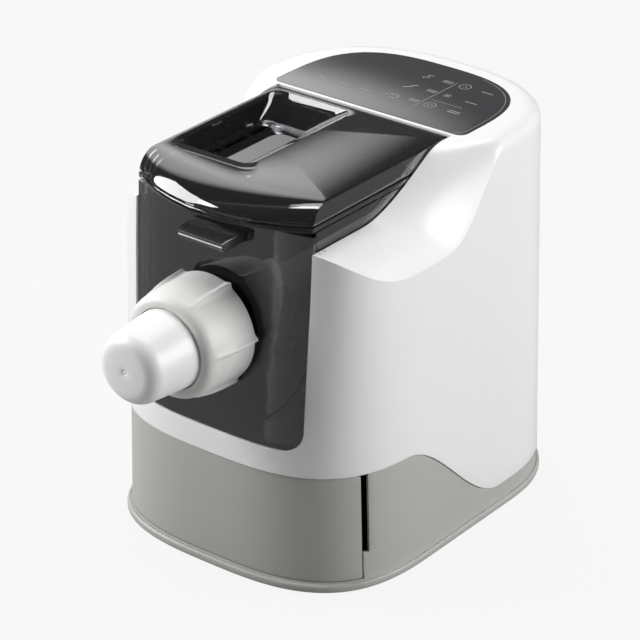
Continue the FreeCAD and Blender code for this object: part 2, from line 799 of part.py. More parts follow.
def tangent_web(a, ra, b, rb, rear, front):
    length = math.hypot(b[0] - a[0], b[1] - a[1])
    heading = math.atan2(b[1] - a[1], b[0] - a[0])
    swing = math.acos((ra - rb) / length)
    points = []
    for centre, radius, turn in ((a, ra, swing), (b, rb, swing), (b, rb, -swing), (a, ra, -swing)):
        angle = heading + turn
        points.append(V(centre[0] + radius * math.cos(angle), front, centre[1] + radius * math.sin(angle)))
    return Part.Face(Part.makePolygon(points + [points[0]])).extrude(V(0, rear - front, 0))


def gearbox_rear():
    return gear_layers()[2][0] + gear_space


def gearbox_housing():
    box = gearbox_form(gearbox_wall, gearbox_rear(), gearbox_front())
    box = box.cut(gearbox_form(0.0, gearbox_rear() + 1.0, gearbox_front() + gearbox_plate))
    boss_front = bowl_rear + 0.8
    boss = y_axis_disc(bearing_outer + 3.0, gearbox_front() + 0.5, boss_front)
    box = fuse_all([box, boss])
    box = box.cut(y_axis_disc(bearing_outer, boss_front + bearing_width, boss_front - 1.0))
    box = box.cut(y_axis_disc(shaft_radius + 1.0, 80.0, 40.0))
    for place in axle_places()[:2]:
        box = box.cut(y_axis_disc(axle_radius, 80.0, gearbox_front() + 1.0, place[0], place[1]))
    return box


def gearbox_cover():
    rear = gearbox_rear()
    plate = gearbox_form(gearbox_wall, rear + gearbox_plate, rear)
    boss = y_axis_disc(bearing_outer + 3.0, rear + gearbox_plate + 5.0, rear)
    cover = plate.fuse(boss)
    cover = cover.cut(y_axis_disc(bearing_outer, rear + 1.0 + bearing_width, rear - 1.0))
    motor = axle_places()[2]
    cover = cover.cut(y_axis_disc(8.0, rear + 10.0, rear - 5.0, motor[0], motor[1]))
    for place in axle_places()[:2]:
        cover = cover.cut(y_axis_disc(axle_radius, rear + 1.5, rear - 1.0, place[0], place[1]))
    return cover


def bearing(rear):
    ring = y_axis_disc(bearing_outer, rear, rear - bearing_width)
    return ring.cut(y_axis_disc(shaft_radius + run_gap, rear + 1.0, rear - bearing_width - 1.0))


def axle(place):
    return y_axis_disc(axle_radius, gearbox_rear() + 1.5, gearbox_front() + 1.0, place[0], place[1])


def drive_shaft():
    rear = gearbox_rear() + bearing_width
    body = y_axis_disc(shaft_radius, rear, paddle_rear + 1.0)
    return body.fuse(hex_bar(shaft_hex, paddle_rear + 2.0, paddle_rear - 28.0)).removeSplitter()


def motor_rear():
    return gearbox_rear() + gearbox_plate + motor_length


def motor_can():
    x, z = axle_places()[2]
    front = gearbox_rear() + gearbox_plate
    can = y_axis_disc(motor_radius, motor_rear(), front, x, z)
    can = can.cut(y_axis_disc(motor_radius - motor_wall, motor_rear() + 1.0, front + motor_wall, x, z))
    return can.cut(y_axis_disc(axle_radius + run_gap, front + 5.0, front - 1.0, x, z))


def motor_end_bell():
    x, z = axle_places()[2]
    rear = motor_rear()
    bell = y_axis_disc(motor_radius, rear + 2.0, rear, x, z).fuse(y_axis_disc(9.0, rear + 4.0, rear, x, z))
    bell = bell.cut(y_axis_disc(axle_radius + run_gap, rear + 9.0, rear - 1.0, x, z))
    for i in range(6):
        turn = math.radians(60.0 * i)
        hole = y_axis_disc(5.0, rear + 9.0, rear - 1.0, x + 21.0 * math.cos(turn), z + 21.0 * math.sin(turn))
        bell = bell.cut(hole)
    return bell


def motor_stator():
    x, z = axle_places()[2]
    front = gearbox_rear() + gearbox_plate + motor_wall + 3.0
    ring = y_axis_disc(motor_radius - motor_wall, motor_rear() - 5.0, front, x, z)
    return ring.cut(y_axis_disc(rotor_radius + 1.0, motor_rear(), front - 1.0, x, z))


def motor_rotor():
    x, z = axle_places()[2]
    front = gearbox_rear() + gearbox_plate + motor_wall + 3.0
    core = y_axis_disc(rotor_radius, motor_rear() - 6.0, front + 1.0, x, z)
    slots = []
    for i in range(10):
        turn = 2.0 * math.pi * i / 10.0
        slots.append(y_axis_disc(2.6, 300.0, 0.0, x + rotor_radius * math.cos(turn), z + rotor_radius * math.sin(turn)))
    commutator = y_axis_disc(9.0, motor_rear() - 1.0, motor_rear() - 6.5, x, z)
    shaft = y_axis_disc(axle_radius, motor_rear() + 14.0, gear_layers()[2][1], x, z)
    return fuse_all([core.cut(Part.makeCompound(slots)), commutator, shaft])


def cooling_fan():
    x, z = axle_places()[2]
    rear = motor_rear() + 13.0
    hub = y_axis_disc(7.0, rear, rear - 7.0, x, z)
    blades = []
    for i in range(7):
        blade = block(-0.8, 0.8, rear - 6.8, rear - 0.2, 5.0, fan_radius)
        blade.rotate(V(0, rear - 3.5, 0), V(0, 0, 1), 32.0)
        blade.rotate(V(0, 0, 0), V(0, 1, 0), 360.0 * i / 7.0)
        blade.translate(V(x, 0, z))
        blades.append(blade)
    return fuse_all([hub] + blades).cut(y_axis_disc(axle_radius, rear + 5.0, rear - 20.0, x, z))


def cover_top():
    return foot_height + 0.6 + cover_thickness


def motor_cradle():
    x, z = axle_places()[2]
    front = gearbox_rear() + gearbox_plate + 8.0
    post = block(x - 24.0, x + 24.0, front, front + 24.0, cover_top(), z - motor_radius * 0.55)
    return post.cut(y_axis_disc(motor_radius + 0.1, 300.0, 0.0, x, z))


def hollow_inset():
    """How far the base's inside lies within its grey outer face."""
    return seam_step + skirt_wall + 0.9


def base_housing():
    top = foot_height + rim_height
    steps = [(foot_height, 1.2), (foot_height + 1.0, 0.2), (foot_height + 2.0, 0.0), (top - 0.8, 0.0), (top, 0.8)]
    rim = loft([rim_outline(z, inset) for z, inset in steps], True)
    flare = []
    for i in range(4):
        share = i / 3.0
        level = top + rim_blend * share
        flare.append(skirt_outline(level, -1.2 + 1.2 * (1.0 - (1.0 - share) ** 2)))
    skirt = loft(flare, True).fuse(skirt_block(0.0, top + rim_blend, front_seam + 20.0))
    skirt = skirt.common(seam_solid(-0.3))
    tongue = loft([shell_outline(z, shell_wall + 0.3) for z in (rear_seam - 8.0, front_seam + 20.0)], True)
    tongue = tongue.common(seam_solid(skirt_overlap))
    hollow_low = loft([skirt_outline(z, hollow_inset()) for z in (foot_height - 1.0, front_seam)], True)
    hollow_high = loft([shell_outline(z, shell_wall + 2.4) for z in (front_seam - 1.0, front_seam + 30.0)], True)
    body = fuse_all([rim, skirt, tongue]).cut(hollow_low).cut(hollow_high)
    half = drawer_half_width + drawer_gap
    body = body.cut(block(-half, half, -150.0, -45.0, drawer_bottom - drawer_gap, front_seam - drawer_gap))
    for side in (-1, 1):
        x = side * (half + grip_slot_width / 2.0)
        w = grip_slot_width / 2.0 + 0.01
        body = body.cut(block(x - w, x + w, -75.0, -48.0, grip_slot_bottom, front_seam - drawer_gap))
    return body


def bottom_cover():
    inset = hollow_inset() + cover_gap
    plate = loft([skirt_outline(z, inset) for z in (foot_height + 0.6, cover_top())], True)
    cutters = []
    for i in range(7):
        x = -30.0 + 10.0 * i
        cutters.append(block(x - 2.0, x + 2.0, 142.0, 160.0, 0.0, 20.0))
    for x, y in foot_places():
        cutters.append(z_axis_disc(foot_stem, 0.0, 20.0, x, y))
    for x, y in cover_screw_places():
        cutters.append(z_axis_disc(2.0, 0.0, 20.0, x, y))
    return plate.cut(Part.makeCompound(cutters))


def foot_places():
    return [(x, y) for x in (-foot_spread, foot_spread) for y in (foot_front, foot_rear)]


def cover_screw_places():
    x = body_half_width - 19.0
    near = [(side * x, y) for side in (-1, 1) for y in (-20.0, 70.0)]
    return near + [(side * (foot_spread - 20.0), 135.0) for side in (-1, 1)]


def rubber_feet():
    feet = []
    for x, y in foot_places():
        pad = Part.makeCone(foot_radius - 1.0, foot_radius, 1.0, V(x, y, 0))
        pad = pad.fuse(z_axis_disc(foot_radius, 1.0, foot_height + 0.6, x, y))
        feet.append(pad.fuse(z_axis_disc(foot_stem, foot_height, cover_top(), x, y)).removeSplitter())
    return Part.makeCompound(feet)


def cover_screws():
    screws = []
    for x, y in cover_screw_places():
        head = z_axis_disc(3.6, foot_height - 1.2, foot_height + 0.6, x, y)
        screws.append(head.fuse(z_axis_disc(2.0, foot_height, cover_top() + 6.0, x, y)).removeSplitter())
    return Part.makeCompound(screws)


def drawer_front():
    top = front_seam - drawer_gap - 0.4
    ring = skirt_block(0.0, drawer_bottom, top).cut(skirt_block(drawer_front_wall, drawer_bottom - 1.0, top + 1.0))
    return ring.common(block(-drawer_half_width, drawer_half_width, -150.0, -45.0, 0.0, 200.0))


def drawer_tray():
    half = tray_half_width
    rear = tray_length - body_front
    outer = block(-half, half, -100.0, rear, tray_floor, tray_floor + tray_height)
    outer = outer.common(skirt_block(drawer_front_wall, 5.0, 90.0))
    inner = block(-half + tray_wall, half - tray_wall, -100.0, rear - tray_wall, tray_floor + tray_wall, 200.0)
    inner = inner.common(skirt_block(drawer_front_wall + tray_wall, 0.0, 220.0))
    return outer.cut(inner)


def drawer_bay():
    half = tray_half_width + 0.8
    rear = tray_length - body_front + 4.0
    top = tray_floor + tray_height + 3.0
    outer = block(-half - bay_wall, half + bay_wall, bay_front, rear + bay_wall, cover_top(), top)
    bay = outer.cut(block(-half, half, bay_front - 4.0, rear, cover_top() + bay_wall, top + 5.0))
    spread_x = tray_half_width - 23.0
    low = cover_top() + 1.0
    runners = [block(x - 3.0, x + 3.0, bay_front, rear, low, tray_floor - 0.3) for x in (-spread_x, spread_x)]
    return fuse_all([bay] + runners)


def power_board():
    low = cover_top() + 10.0
    x = 19.0 - body_half_width
    y = 68.0
    board = block(x, x + 44.0, y, y + 54.0, low, low + board_thickness)
    top = low + board_thickness
    pieces = [block(x + 4.0, x + 24.0, y + 6.0, y + 26.0, top, top + 22.0)]
    pieces.append(block(x + 4.0, x + 22.0, y + 34.0, y + 48.0, top, top + 15.0))
    pieces += [z_axis_disc(7.0, top, top + 20.0, x + 34.0, y + out) for out in (14.0, 32.0)]
    corners = [(x + dx, y + dy) for dx in (5.0, 39.0) for dy in (5.0, 49.0)]
    posts = [z_axis_disc(3.0, cover_top(), low + 0.5, px, py) for px, py in corners]
    return fuse_all([board] + pieces + posts)


def lid_magnet():
    x = lid_half_width - lid_wall
    return Part.makeCylinder(3.5, 2.0, V(x - 2.0, 38.0, body_top - lid_plate - 5.0), V(1, 0, 0))


def lid_sensor():
    x = window_half_high + liner_wall
    return block(x, x + 3.0, 33.0, 43.0, lid_bottom - 14.0, lid_bottom - 2.0)


def build():
    cavity = body_block(shell_wall, rear_seam - 20.0, body_top - shell_wall, top_round - shell_wall)
    cavity = cut_scoops(cavity, shell_wall)
    output, cluster_two, cluster_one, pinion = gear_train()
    second, first, motor = axle_places()
    boss_front = bowl_rear + 0.8
    pins = Part.makeCompound([hinge_pin_solid(side) for side in (-1, 1)])
    return {
        "main_housing": main_housing(cavity),
        "chamber_liner": chamber_liner(cavity),
        "base_housing": base_housing(),
        "bottom_cover": bottom_cover(),
        "rubber_feet": rubber_feet(),
        "cover_screws": cover_screws(),
        "drawer_bay": drawer_bay(),
        "drawer_front": drawer_front(),
        "drawer_tray": drawer_tray(),
        "control_glass": control_glass(),
        "control_board": control_board(),
        "control_board_screws": control_board_screws(),
        "power_board": power_board(),
        "cord_gland": cord_gland(),
        "lid": lid(),
        "lid_hinge_pins": pins,
        "lid_magnet": lid_magnet(),
        "lid_sensor": lid_sensor(),
        "mixing_bowl": mixing_bowl(),
        "bowl_seal": bowl_seal(),
        "front_panel": front_panel(),
        "panel_seal": panel_seal(),
        "panel_grip": panel_grip(),
        "extruder_tube": extruder_tube(),
        "shaping_die": shaping_die(),
        "clamp_nut": clamp_nut(),
        "end_cap": end_cap(),
        "auger_screw": auger_screw(),
        "mixing_paddle": mixing_paddle(),
        "drive_shaft": drive_shaft(),
        "front_bearing": bearing(boss_front + bearing_width),
        "rear_bearing": bearing(gearbox_rear() + 1.0 + bearing_width),
        "gearbox_housing": gearbox_housing(),
        "gearbox_cover": gearbox_cover(),
        "output_gear": output,
        "second_gear": cluster_two,
        "first_gear": cluster_one,
        "motor_pinion": pinion,
        "second_axle": axle(second),
        "first_axle": axle(first),
        "motor_can": motor_can(),
        "motor_end_bell": motor_end_bell(),
        "motor_stator": motor_stator(),
        "motor_rotor": motor_rotor(),
        "cooling_fan": cooling_fan(),
        "motor_cradle": motor_cradle(),
    }


def export(pieces):
    """Centres the overall footprint on the origin and writes one STEP file per piece."""
    os.makedirs("parts", exist_ok=True)
    middle = (body_straight + body_tail + cap_tip) / 2.0
    for name, shape in pieces.items():
        shape.translate(V(0, -middle, 0))
        shape.exportStep("parts/%s.step" % name)
        print(name, len(shape.Solids), round(shape.Volume), shape.isValid())


export(build())
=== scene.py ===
import bpy
import bmesh
import json
import math
import numpy as np
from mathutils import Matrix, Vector


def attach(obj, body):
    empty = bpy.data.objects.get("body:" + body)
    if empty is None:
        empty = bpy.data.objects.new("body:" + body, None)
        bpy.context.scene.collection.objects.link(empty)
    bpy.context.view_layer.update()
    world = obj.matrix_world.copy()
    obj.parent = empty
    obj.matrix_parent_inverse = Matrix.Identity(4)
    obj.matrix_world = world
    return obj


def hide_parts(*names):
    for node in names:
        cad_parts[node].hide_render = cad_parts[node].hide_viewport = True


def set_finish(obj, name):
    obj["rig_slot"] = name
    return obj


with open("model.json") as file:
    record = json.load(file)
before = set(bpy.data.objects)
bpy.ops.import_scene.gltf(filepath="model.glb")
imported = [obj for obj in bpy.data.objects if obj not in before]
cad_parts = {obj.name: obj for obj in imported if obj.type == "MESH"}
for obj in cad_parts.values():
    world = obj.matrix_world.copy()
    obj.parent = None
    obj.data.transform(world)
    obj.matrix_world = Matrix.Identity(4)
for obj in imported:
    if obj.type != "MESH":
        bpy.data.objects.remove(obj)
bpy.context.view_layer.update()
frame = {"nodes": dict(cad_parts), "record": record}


# Stage: a pale floor that runs out of sight, a pale room with one brighter side, and three soft lamps.
# The floor is a plain sheet of matte white board. The camera is set from the photo's own perspective.
def colour(code):
    """sRGB hex to the linear colour that the shaders use."""
    parts = [int(code[i:i + 2], 16) / 255.0 for i in (0, 2, 4)]
    return tuple(p / 12.92 if p <= 0.04045 else ((p + 0.055) / 1.055) ** 2.4 for p in parts)


def add(tree, kind, values=(), **settings):
    """Adds a shader node; values maps its input names to plain values or to the sockets that feed them."""
    node = tree.nodes.new(kind)
    for key, value in settings.items():
        setattr(node, key, value)
    for key, value in dict(values).items():
        if isinstance(value, bpy.types.NodeSocket):
            tree.links.new(value, node.inputs[key])
        else:
            node.inputs[key].default_value = value
    return node


def blank(name):
    """A new material with an empty node tree and its output."""
    material = bpy.data.materials.new(name)
    material.use_nodes = True
    tree = material.node_tree
    tree.nodes.clear()
    return material, tree, add(tree, "ShaderNodeOutputMaterial")


def surface(name, code, rough, metal=0.0, coat=0.0, grain=0.6, depth=0.02, mottle=0.03):
    """A solid material: fine grain of that size and depth in millimetres, and a slight mottle of tone."""
    material, tree, out = blank(name)
    place = add(tree, "ShaderNodeTexCoord").outputs["Object"]
    fine = add(tree, "ShaderNodeTexNoise", {"Vector": place, "Scale": 1000.0 / grain, "Detail": 2.0})
    broad = add(tree, "ShaderNodeTexNoise", {"Vector": place, "Scale": 1000.0 / (grain * 60.0), "Detail": 3.0})
    bump = add(tree, "ShaderNodeBump", {"Strength": 0.35, "Distance": depth / 1000.0, "Height": fine.outputs["Fac"]})
    base = colour(code)
    dark = tuple(c * (1.0 - mottle) for c in base)
    mix = tree.nodes.new("ShaderNodeMix")
    mix.data_type = "RGBA"
    tree.links.new(broad.outputs["Fac"], mix.inputs["Factor"])
    mix.inputs[6].default_value = base + (1.0,)
    mix.inputs[7].default_value = dark + (1.0,)
    shine = add(tree, "ShaderNodeMapRange", {"Value": broad.outputs["Fac"], "To Min": rough * 0.92,
                                             "To Max": rough * 1.08})
    skin = add(tree, "ShaderNodeBsdfPrincipled", {
        "Base Color": mix.outputs[2], "Roughness": shine.outputs["Result"], "Metallic": metal,
        "Coat Weight": coat, "Coat Roughness": 0.12, "Normal": bump.outputs["Normal"]})
    tree.links.new(skin.outputs[0], out.inputs[0])
    return material


def smoked(name, tint, rough, mirror=1.5, haze=0.02):
    """Clear smoked plastic: each face lets through the tint, mirrors the room at a slant and is slightly milky."""
    material, tree, out = blank(name)
    place = add(tree, "ShaderNodeTexCoord").outputs["Object"]
    ripple = add(tree, "ShaderNodeTexNoise", {"Vector": place, "Scale": 1000.0 / 18.0, "Detail": 1.0})
    bump = add(tree, "ShaderNodeBump", {"Strength": 0.2, "Distance": 0.0001, "Height": ripple.outputs["Fac"]})
    glow = add(tree, "ShaderNodeFresnel", {"IOR": 1.6, "Normal": bump.outputs["Normal"]})
    share = add(tree, "ShaderNodeMath", {0: glow.outputs[0], 1: mirror}, operation="MULTIPLY")
    clear = add(tree, "ShaderNodeBsdfTransparent", {"Color": colour(tint) + (1.0,)})
    gloss = add(tree, "ShaderNodeBsdfGlossy", {"Color": (0.9, 0.9, 0.92, 1.0), "Roughness": rough,
                                              "Normal": bump.outputs["Normal"]})
    milky = add(tree, "ShaderNodeBsdfDiffuse", {"Color": colour("B4B4B4") + (1.0,)})
    body = add(tree, "ShaderNodeMixShader", {0: haze, 1: clear.outputs[0], 2: milky.outputs[0]})
    both = add(tree, "ShaderNodeMixShader", {0: share.outputs[0], 1: body.outputs[0], 2: gloss.outputs[0]})
    tree.links.new(both.outputs[0], out.inputs[0])
    return material


scene = bpy.context.scene
scene.view_settings.view_transform = "Standard"
floor_mesh = bpy.data.meshes.new("floor")
reach = 6.0
floor_mesh.from_pydata([(-reach, -reach, 0), (reach, -reach, 0), (reach, reach, 0), (-reach, reach, 0)], [],
                       [(0, 1, 2, 3)])
floor = bpy.data.objects.new("floor", floor_mesh)
scene.collection.objects.link(floor)
board, tree, out = blank("matte_white_board")
place = add(tree, "ShaderNodeTexCoord").outputs["Object"]
grain = add(tree, "ShaderNodeTexNoise", {"Vector": place, "Scale": 500.0, "Detail": 2.0})
raised = add(tree, "ShaderNodeBump", {"Strength": 0.2, "Distance": 0.0001, "Height": grain.outputs["Fac"]})
matte = add(tree, "ShaderNodeBsdfDiffuse", {"Color": colour("9C9C9C") + (1.0,), "Normal": raised.outputs["Normal"]})
white = add(tree, "ShaderNodeEmission", {"Color": (1.0, 1.0, 1.0, 1.0), "Strength": 1.0})
direct = add(tree, "ShaderNodeLightPath").outputs["Is Camera Ray"]
part_white = add(tree, "ShaderNodeMath", {0: direct, 1: 0.9}, operation="MULTIPLY").outputs[0]
both = add(tree, "ShaderNodeMixShader", {0: part_white, 1: matte.outputs[0], 2: white.outputs[0]})
tree.links.new(both.outputs[0], out.inputs[0])
floor_mesh.materials.append(board)

room = bpy.data.worlds.new("studio_room")
scene.world = room
room.use_nodes = True
tree = room.node_tree
tree.nodes.clear()
path = add(tree, "ShaderNodeLightPath")
seen = add(tree, "ShaderNodeBackground", {"Color": (1.0, 1.0, 1.0, 1.0), "Strength": 1.0})
way = add(tree, "ShaderNodeTexCoord").outputs["Generated"]
bright_side = (-0.78, 0.432, 0.454)
facing = add(tree, "ShaderNodeVectorMath", {0: way, 1: bright_side}, operation="DOT_PRODUCT").outputs["Value"]
lobe = add(tree, "ShaderNodeMapRange", {"Value": facing, "From Min": 0.906, "From Max": 0.965, "To Min": 0.10,
                                        "To Max": 2.3}, interpolation_type="SMOOTHSTEP").outputs["Result"]
lit = add(tree, "ShaderNodeBackground", {"Color": colour("F4F4F2") + (1.0,), "Strength": lobe})
pick = add(tree, "ShaderNodeMixShader", {0: path.outputs["Is Camera Ray"], 1: lit.outputs[0], 2: seen.outputs[0]})
tree.links.new(pick.outputs[0], add(tree, "ShaderNodeOutputWorld").inputs[0])

aim = Vector((0.0, 0.0, 0.13))
for name, place, size, power in (("soft_box_left", (-1.5, -0.9, 1.0), 1.2, 43.0),
                                 ("soft_box_right", (1.7, 0.7, 0.7), 1.1, 30.0),
                                 ("soft_box_top", (-0.1, 0.5, 1.9), 1.1, 16.0)):
    light = bpy.data.lights.new(name, "AREA")
    light.size = size
    light.energy = power
    lamp = bpy.data.objects.new(name, light)
    lamp.location = place
    lamp.rotation_mode = "QUATERNION"
    lamp.rotation_quaternion = (aim - Vector(place)).to_track_quat("-Z", "Y")
    scene.collection.objects.link(lamp)

lens = bpy.data.cameras.new("photo_camera")
lens.sensor_width = 36.0
lens.lens = 167.92
lens.clip_end = 50.0
camera = bpy.data.objects.new("photo_camera", lens)
camera.location = (1.03578, -1.30805, 0.98020)
turn, tilt = math.radians(38.03), math.radians(26.86)
ahead = Vector((-math.sin(turn) * math.cos(tilt), math.cos(turn) * math.cos(tilt), -math.sin(tilt)))
camera.rotation_mode = "QUATERNION"
camera.rotation_quaternion = ahead.to_track_quat("-Z", "Y")
scene.collection.objects.link(camera)
scene.camera = camera


# Materials of the pieces that show as the solids are: one procedural material per finish.
finish = {
    "white_shell": surface("satin_white_abs", "EDEDED", 0.34, coat=0.15, grain=0.5, depth=0.006),
    "grey_base": surface("satin_grey_abs", "B2B2AE", 0.42, grain=0.5, depth=0.01),
    "dark_liner": surface("black_polypropylene", "2A2A2C", 0.5, grain=0.8),
    "black_rubber": surface("black_rubber", "141414", 0.75, grain=0.7, depth=0.05),
    "steel_screw": surface("nickel_plated_steel", "B9BABD", 0.28, metal=1.0, grain=0.3),
    "white_tray": surface("white_polypropylene", "DCDCDA", 0.5, grain=0.8),
    "panel_glass": surface("dark_acrylic", "3A3B3D", 0.12, coat=0.6, grain=3.0, depth=0.003),
    "circuit_board": surface("green_glass_fibre", "1F5A38", 0.45, grain=0.9),
    "smoked_plastic": smoked("smoked_polycarbonate", "A6A6A8", 0.03),
    "seal_silicone": surface("grey_silicone", "B9B9B7", 0.6, grain=0.9),
    "die_plastic": surface("white_acetal", "D9D9D5", 0.4, grain=0.8),
    "nut_plastic": surface("off_white_acetal", "DCDCDA", 0.45, grain=0.7, depth=0.03),
    "bearing_bronze": surface("sintered_bronze", "A9814F", 0.45, metal=1.0, grain=0.25, depth=0.03),
    "gearbox_aluminium": surface("die_cast_aluminium", "A4A6A8", 0.48, metal=1.0, grain=0.8, depth=0.05),
    "gear_plastic": surface("natural_nylon", "DAD6C8", 0.45, grain=0.8),
    "motor_steel": surface("zinc_plated_steel", "9A9C9F", 0.36, metal=1.0, grain=0.4, depth=0.02),
}
for part in frame["record"]["subparts"]:
    piece = frame["nodes"][part["node"]]
    piece.data.materials.clear()
    piece.data.materials.append(finish[part["material_slot"]])


# White housing shell: the satin ABS skin with its stepped lower edge, scooped shoulders and control deck.
# One grid of the plan outline runs from the seam up the side and over the crest to the lid opening,
# then it is thickened, its rims are rounded, and the glass recess is cut.
def placed(points):
    """Millimetres of the solids' own drawing to metres of the frame, whose middle lies 0.1 mm further back."""
    return [(x / 1000.0, (y - 0.1) / 1000.0, z / 1000.0) for x, y, z in points]


def shape(name, points, faces, slot, body, node=None, crease=35.0):
    """Makes a piece from points in millimetres of the solids' own drawing, gives it its finish and its body."""
    mesh = bpy.data.meshes.new(name)
    mesh.from_pydata(placed(points), [], faces)
    mesh.update()
    piece = bpy.data.objects.new(name, mesh)
    scene.collection.objects.link(piece)
    mesh.materials.append(finish[slot])
    mesh.shade_smooth()
    mesh.set_sharp_from_angle(angle=math.radians(crease))
    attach(piece, body)
    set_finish(piece, slot)
    if node:
        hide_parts(node)
    return piece


def grid_faces(rows, columns, start=0, closed=False):
    """Faces of a grid of points listed row by row; closed joins the last column to the first."""
    faces = []
    last = columns if closed else columns - 1
    for r in range(rows - 1):
        for c in range(last):
            a, b = start + r * columns + c, start + r * columns + (c + 1) % columns
            faces.append((a, b, b + columns, a + columns))
    return faces


def rework(piece, steps, crease=35.0):
    """Runs modifiers on a piece at once: each step is a modifier type and its settings."""
    for kind, settings in steps:
        modifier = piece.modifiers.new(kind.lower(), kind)
        for key, value in settings.items():
            setattr(modifier, key, value)
    bpy.context.view_layer.update()
    made = bpy.data.meshes.new_from_object(piece.evaluated_get(bpy.context.evaluated_depsgraph_get()))
    piece.modifiers.clear()
    old, piece.data = piece.data, made
    bpy.data.meshes.remove(old)
    made.shade_smooth()
    made.set_sharp_from_angle(angle=math.radians(crease))
    return piece


side_length = 80.0
seam_height = 83.0
window_half = 67.8
crest_round = 9.0
crown_edge = 249.5


def plan(s, half, front, tail, power):
    """Right half of a plan outline: s is 0 at the front centre, 1 and 2 at the straight side's ends, 3 at the rear."""
    s, half, front, tail, power = np.broadcast_arrays(s, half, front, tail, power)
    angle = np.where(s < 1.0, (1.0 - s), np.clip(s - 2.0, 0.0, 1.0)) * math.pi / 2.0
    power = np.where(s < 1.5, power, 2.5)
    c, n = np.cos(angle), np.sin(angle)
    k = (c ** power + n ** power) ** (-1.0 / power)
    side = side_length * np.clip(s - 1.0, 0.0, 1.0)
    y = np.where(s < 1.0, -front * k * n, np.where(s > 2.0, side_length + tail * k * n, side))
    return half * k * c, y


def shell_plan(s, z, inset=0.0):
    """The white shell in plan: its sides and its nose lean in as they rise."""
    above = np.maximum(z - seam_height, 0.0)
    return plan(s, 104.0 - 0.031 * z - inset, 95.0 - 0.078 * above - inset, 87.0 - inset, 3.0 + 0.0061 * above)


def at_width(x, z, inset=0.0):
    """The station on the nose where the shell is that far from the middle."""
    low, high = np.zeros(np.shape(x + z)), np.ones(np.shape(x + z))
    for _ in range(40):
        middle = (low + high) / 2.0
        over = shell_plan(middle, z, inset)[0] > x
        low, high = np.where(over, low, middle), np.where(over, middle, high)
    return (low + high) / 2.0


def seam(y):
    """Height of the seam between shell and base, which falls in an S along the side."""
    t = np.clip((y + 27.0) / 98.0, 0.0, 1.0)
    return seam_height - 62.0 * (3.0 * t * t - 2.0 * t ** 3)


def scoop(x, y):
    """Height of the scooped shoulder and its ramp."""
    share = np.clip((x - 60.0) / 41.0, 0.0, 1.0)
    level = 180.0 + 50.0 * (1.0 - share ** 2.2) ** (1.0 / 2.2)
    out = np.clip((x - window_half) / 30.2, 0.0, 1.0)
    y0, y3 = -30.0 + 45.0 * out, 48.0 + 37.0 * out
    y1, y2 = y0 + 25.0 + 5.0 * out, y3 - 28.0 - 2.0 * out
    low, high = np.zeros(np.shape(out + y)), np.ones(np.shape(out + y))
    for _ in range(40):
        t = (low + high) / 2.0
        u = 1.0 - t
        over = u ** 3 * y0 + 3 * u * u * t * y1 + 3 * u * t * t * y2 + t ** 3 * y3 > y
        low, high = np.where(over, low, t), np.where(over, t, high)
    t, u = (low + high) / 2.0, 1.0 - (low + high) / 2.0
    ramp = (u ** 3 + 3 * u * u * t) * level + 3 * u * t * t * (level + 17.5 + 16.5 * out) + t ** 3 * 261.5
    return np.where(y < y0, level, np.where(y > y3, 400.0, ramp))


def top_height(x, y, inset, round_off=2.2):
    """The lower of crown and scoop, with the edge between them rounded off."""
    edge = np.clip(inset, 0.0, crest_round)
    crown = crown_edge + np.sqrt(np.maximum(crest_round ** 2 - (crest_round - edge) ** 2, 0.0))
    dip = scoop(x, y)
    gap = np.clip(0.5 + 0.5 * (dip - crown) / round_off / 2.0, 0.0, 1.0)
    return dip * (1.0 - gap) + crown * gap - round_off * 2.0 * gap * (1.0 - gap)


